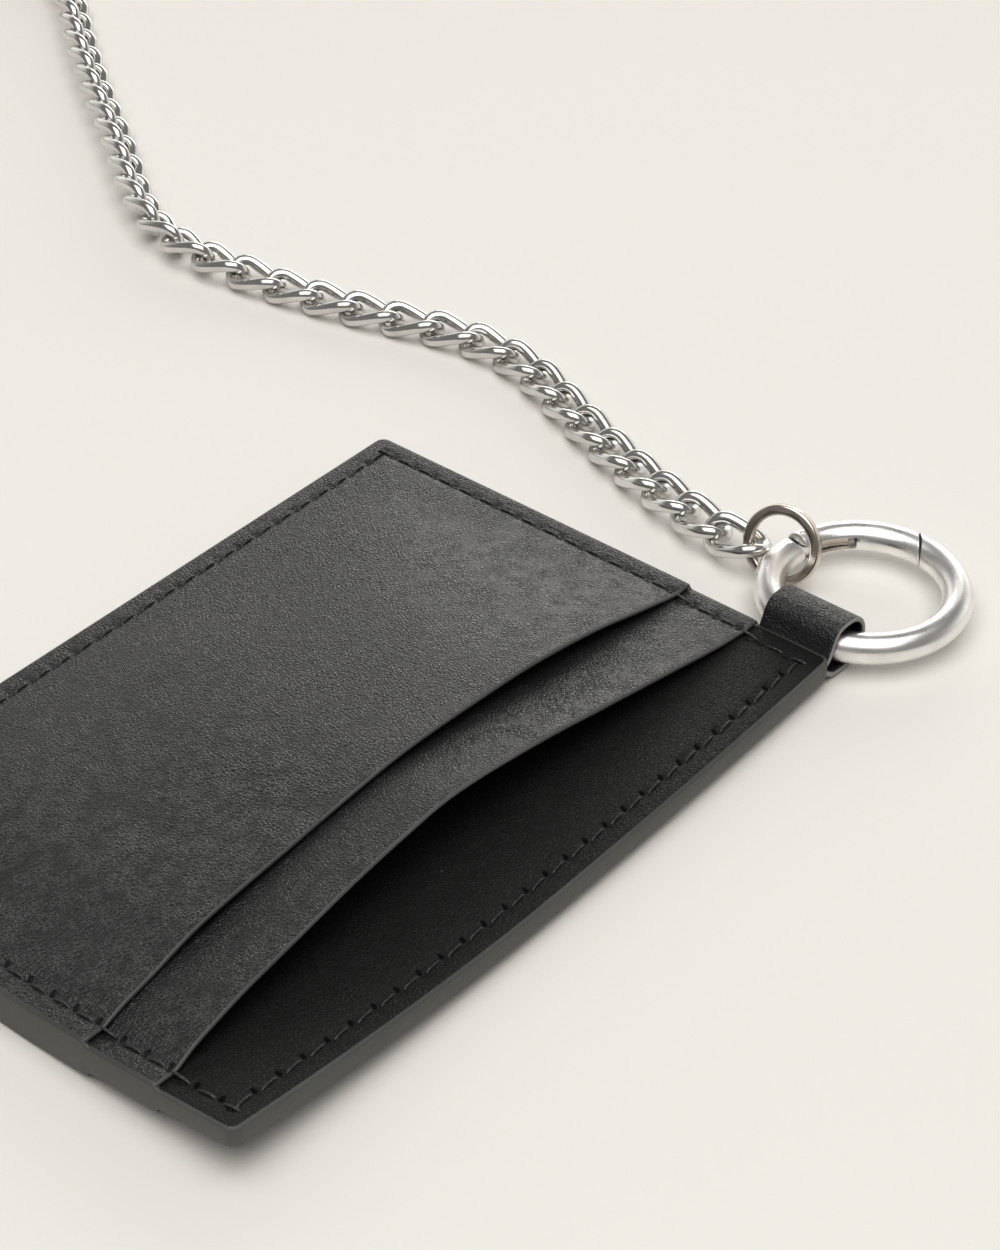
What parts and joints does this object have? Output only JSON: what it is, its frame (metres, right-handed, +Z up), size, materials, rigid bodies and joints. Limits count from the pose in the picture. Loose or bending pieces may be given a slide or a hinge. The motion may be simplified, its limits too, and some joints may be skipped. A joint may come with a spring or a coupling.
{
  "type": "chain wallet",
  "caption": "Flat leather card holder with stitched slots on both sides, joined by a spring-gate hoop and a jump ring to a long curb chain that ends in a swivel clasp.",
  "frame": {"origin": "centre of the underside of the leather holder, which lies flat on its reverse side", "axes": "+X towards the holder's right-hand short side, +Y towards the edge where the slots open, +Z up through the holder's thickness"},
  "size_m": [0.178, 0.2588, 0.0112],
  "materials": {
    "black_leather": "fine pebbled grain, semi-matt",
    "black_thread": "waxed twisted thread, slightly glossy",
    "core_board": "bonded leather board, matt",
    "satin_steel": "soft polished plating",
    "polished_steel": "bright polished plating",
    "warm_nickel": "bright nickel with a warm tone",
    "spring_steel": "plain spring strip"
  },
  "bodies": {
    "holder": {"front_outer_pocket": "black_leather", "front_inner_pocket": "black_leather", "front_base_panel": "black_leather", "core_stiffener": "core_board", "rear_base_panel": "black_leather", "rear_inner_pocket": "black_leather", "rear_outer_pocket": "black_leather", "front_stitching": "black_thread", "rear_stitching": "black_thread", "hoop_tab": "black_leather"},
    "hoop": {"hoop_body": "satin_steel"},
    "gate": {"gate_arm": "satin_steel", "gate_pin": "satin_steel", "gate_spring": "spring_steel"},
    "jump_ring": {"jump_ring": "warm_nickel"},
    "links_01": {"links_01": "polished_steel"},
    "links_02": {"links_02": "polished_steel"},
    "links_03": {"links_03": "polished_steel"},
    "links_04": {"links_04": "polished_steel"},
    "links_05": {"links_05": "polished_steel"},
    "links_06": {"links_06": "polished_steel"},
    "links_07": {"links_07": "polished_steel"},
    "links_08": {"links_08": "polished_steel"},
    "links_09": {"links_09": "polished_steel"},
    "links_10": {"links_10": "polished_steel"},
    "links_11": {"links_11": "polished_steel"},
    "links_12": {"links_12": "polished_steel"},
    "links_13": {"links_13": "polished_steel"},
    "links_14": {"links_14": "polished_steel"},
    "links_15": {"links_15": "polished_steel"},
    "links_16": {"links_16": "polished_steel"},
    "links_17": {"links_17": "polished_steel"},
    "links_18": {"links_18": "polished_steel"},
    "links_19": {"links_19": "polished_steel"},
    "links_20": {"links_20": "polished_steel"},
    "links_21": {"links_21": "polished_steel"},
    "links_22": {"links_22": "polished_steel"},
    "links_23": {"links_23": "polished_steel"},
    "links_24": {"links_24": "polished_steel"},
    "links_25": {"links_25": "polished_steel"},
    "links_26": {"links_26": "polished_steel"},
    "links_27": {"links_27": "polished_steel"},
    "links_28": {"links_28": "polished_steel"},
    "end_ring": {"end_ring": "polished_steel"},
    "clasp_eye": {"clasp_eye": "polished_steel"},
    "clasp": {"clasp_body": "polished_steel", "clasp_lever_pin": "polished_steel", "clasp_spring": "spring_steel"},
    "clasp_lever": {"clasp_lever": "polished_steel"}
  },
  "joints": [
    {"name": "hoop_flip", "type": "hinge", "parent": "holder", "child": "hoop", "pos_m": [-0.0534, 0.0302, 0.00365], "axis": [0, 1, 0], "range_deg": [0, 120]},
    {"name": "gate_swing", "type": "hinge", "parent": "hoop", "child": "gate", "pos_m": [-0.06695, 0.01919, 0.0036], "axis": [0, 0, -1], "range_deg": [0, 40], "stiffness_Nm_per_rad": 0.004},
    {"name": "jump_ring_swing", "type": "hinge", "parent": "hoop", "child": "jump_ring", "pos_m": [-0.06361, 0.01881, 0.0036], "axis": [0.9994, 0.0339, 0], "range_deg": [-25, 25]},
    {"name": "link_bend_01", "type": "hinge", "parent": "jump_ring", "child": "links_01", "pos_m": [-0.0627, 0.0151, 0.0037], "axis": [0.3349, -0.1131, 0.9354], "range_deg": [-7, 20]},
    {"name": "link_bend_02", "type": "hinge", "parent": "links_01", "child": "links_02", "pos_m": [-0.06466, 0.00273, 0.0029], "axis": [0.9479, -0.301, -0.1043], "range_deg": [-20, 20]},
    {"name": "link_bend_03", "type": "hinge", "parent": "links_02", "child": "links_03", "pos_m": [-0.0687, -0.00917, 0.0021], "axis": [0.0114, 0.0296, -0.9995], "range_deg": [-20, 20]},
    {"name": "link_bend_04", "type": "hinge", "parent": "links_03", "child": "links_04", "pos_m": [-0.07332, -0.02089, 0.0019], "axis": [-0.9205, 0.3907, 0], "range_deg": [-20, 20]},
    {"name": "link_bend_05", "type": "hinge", "parent": "links_04", "child": "links_05", "pos_m": [-0.07814, -0.03253, 0.0019], "axis": [0, 0, 1], "range_deg": [-20, 15]},
    {"name": "link_bend_06", "type": "hinge", "parent": "links_05", "child": "links_06", "pos_m": [-0.07956, -0.04497, 0.0019], "axis": [0.9816, 0.1908, 0], "range_deg": [-20, 12]},
    {"name": "link_bend_07", "type": "hinge", "parent": "links_06", "child": "links_07", "pos_m": [-0.07662, -0.05721, 0.0019], "axis": [0, 0, -1], "range_deg": [-20, 20]},
    {"name": "link_bend_08", "type": "hinge", "parent": "links_07", "child": "links_08", "pos_m": [-0.07379, -0.06949, 0.0019], "axis": [-0.9848, -0.1736, 0], "range_deg": [-20, 20]},
    {"name": "link_bend_09", "type": "hinge", "parent": "links_08", "child": "links_09", "pos_m": [-0.07182, -0.08192, 0.00225], "axis": [-0.2203, 0.0352, 0.9748], "range_deg": [-20, 20]},
    {"name": "link_bend_10", "type": "hinge", "parent": "links_09", "child": "links_10", "pos_m": [-0.0716, -0.09447, 0.0028], "axis": [0.7745, -0.1732, 0.6085], "range_deg": [-20, 20]},
    {"name": "link_bend_11", "type": "hinge", "parent": "links_10", "child": "links_11", "pos_m": [-0.07608, -0.10615, 0.003], "axis": [0.6496, -0.4059, -0.6428], "range_deg": [-20, 20]},
    {"name": "link_bend_12", "type": "hinge", "parent": "links_11", "child": "links_12", "pos_m": [-0.08312, -0.11659, 0.003], "axis": [-0.5265, 0.3687, -0.766], "range_deg": [-20, 20]},
    {"name": "link_bend_13", "type": "hinge", "parent": "links_12", "child": "links_13", "pos_m": [-0.09026, -0.12697, 0.003], "axis": [-0.6425, 0.4172, 0.6428], "range_deg": [-20, 20]},
    {"name": "link_bend_14", "type": "hinge", "parent": "links_13", "child": "links_14", "pos_m": [-0.0972, -0.13749, 0.003], "axis": [0.5287, -0.3656, 0.766], "range_deg": [-20, 20]},
    {"name": "link_bend_15", "type": "hinge", "parent": "links_14", "child": "links_15", "pos_m": [-0.10444, -0.1478, 0.003], "axis": [0.6171, -0.4539, -0.6428], "range_deg": [-20, 20]},
    {"name": "link_bend_16", "type": "hinge", "parent": "links_15", "child": "links_16", "pos_m": [-0.11198, -0.15789, 0.003], "axis": [-0.5065, 0.3957, -0.766], "range_deg": [-20, 20]},
    {"name": "link_bend_17", "type": "hinge", "parent": "links_16", "child": "links_17", "pos_m": [-0.11925, -0.16816, 0.003], "axis": [-0.6805, 0.3517, 0.6428], "range_deg": [-20, 20]},
    {"name": "link_bend_18", "type": "hinge", "parent": "links_17", "child": "links_18", "pos_m": [-0.12451, -0.1796, 0.003], "axis": [0.6362, -0.0917, 0.766], "range_deg": [-20, 5]},
    {"name": "link_bend_19", "type": "hinge", "parent": "links_18", "child": "links_19", "pos_m": [-0.12479, -0.1921, 0.003], "axis": [0.7226, 0.2545, -0.6428], "range_deg": [-6, 20]},
    {"name": "link_bend_20", "type": "hinge", "parent": "links_19", "child": "links_20", "pos_m": [-0.11925, -0.20332, 0.003], "axis": [-0.4384, -0.4701, -0.766], "range_deg": [-5, 20]},
    {"name": "link_bend_21", "type": "hinge", "parent": "links_20", "child": "links_21", "pos_m": [-0.10914, -0.21069, 0.003], "axis": [-0.2034, -0.7385, 0.6428], "range_deg": [-20, 6]},
    {"name": "link_bend_22", "type": "hinge", "parent": "links_21", "child": "links_22", "pos_m": [-0.09677, -0.21254, 0.003], "axis": [-0.1358, 0.6283, 0.766], "range_deg": [-20, 5]},
    {"name": "link_bend_23", "type": "hinge", "parent": "links_22", "child": "links_23", "pos_m": [-0.08495, -0.20844, 0.003], "axis": [-0.4135, 0.6449, -0.6428], "range_deg": [-16, 20]},
    {"name": "link_bend_24", "type": "hinge", "parent": "links_23", "child": "links_24", "pos_m": [-0.07477, -0.20105, 0.003], "axis": [0.4624, -0.4465, -0.766], "range_deg": [-15, 20]},
    {"name": "link_bend_25", "type": "hinge", "parent": "links_24", "child": "links_25", "pos_m": [-0.06602, -0.19199, 0.003], "axis": [0.551, -0.5321, 0.6428], "range_deg": [-20, 20]},
    {"name": "link_bend_26", "type": "hinge", "parent": "links_25", "child": "links_26", "pos_m": [-0.05727, -0.18292, 0.003], "axis": [-0.4624, 0.4465, 0.766], "range_deg": [-20, 20]},
    {"name": "link_bend_27", "type": "hinge", "parent": "links_26", "child": "links_27", "pos_m": [-0.04852, -0.17386, 0.003], "axis": [-0.551, 0.5321, -0.6428], "range_deg": [-20, 20]},
    {"name": "link_bend_28", "type": "hinge", "parent": "links_27", "child": "links_28", "pos_m": [-0.03976, -0.16479, 0.003], "axis": [0.4751, -0.4334, -0.7658], "range_deg": [-20, 20]},
    {"name": "ring_swing", "type": "hinge", "parent": "links_28", "child": "end_ring", "pos_m": [-0.03101, -0.15573, 0.0033], "axis": [-0.7193, 0.6947, 0], "range_deg": [-30, 30]},
    {"name": "clasp_sway", "type": "hinge", "parent": "end_ring", "child": "clasp_eye", "pos_m": [-0.0281, -0.15271, 0.0033], "axis": [0, 0, 1], "range_deg": [-30, 30]},
    {"name": "clasp_swivel", "type": "hinge", "parent": "clasp_eye", "child": "clasp", "pos_m": [-0.02337, -0.14782, 0.0032], "axis": [0.6947, 0.7193, 0], "continuous": true},
    {"name": "clasp_lever_press", "type": "hinge", "parent": "clasp", "child": "clasp_lever", "pos_m": [-0.0239, -0.14203, 0.0032], "axis": [0, 0, -1], "range_deg": [0, 22], "stiffness_Nm_per_rad": 0.002}
  ]
}
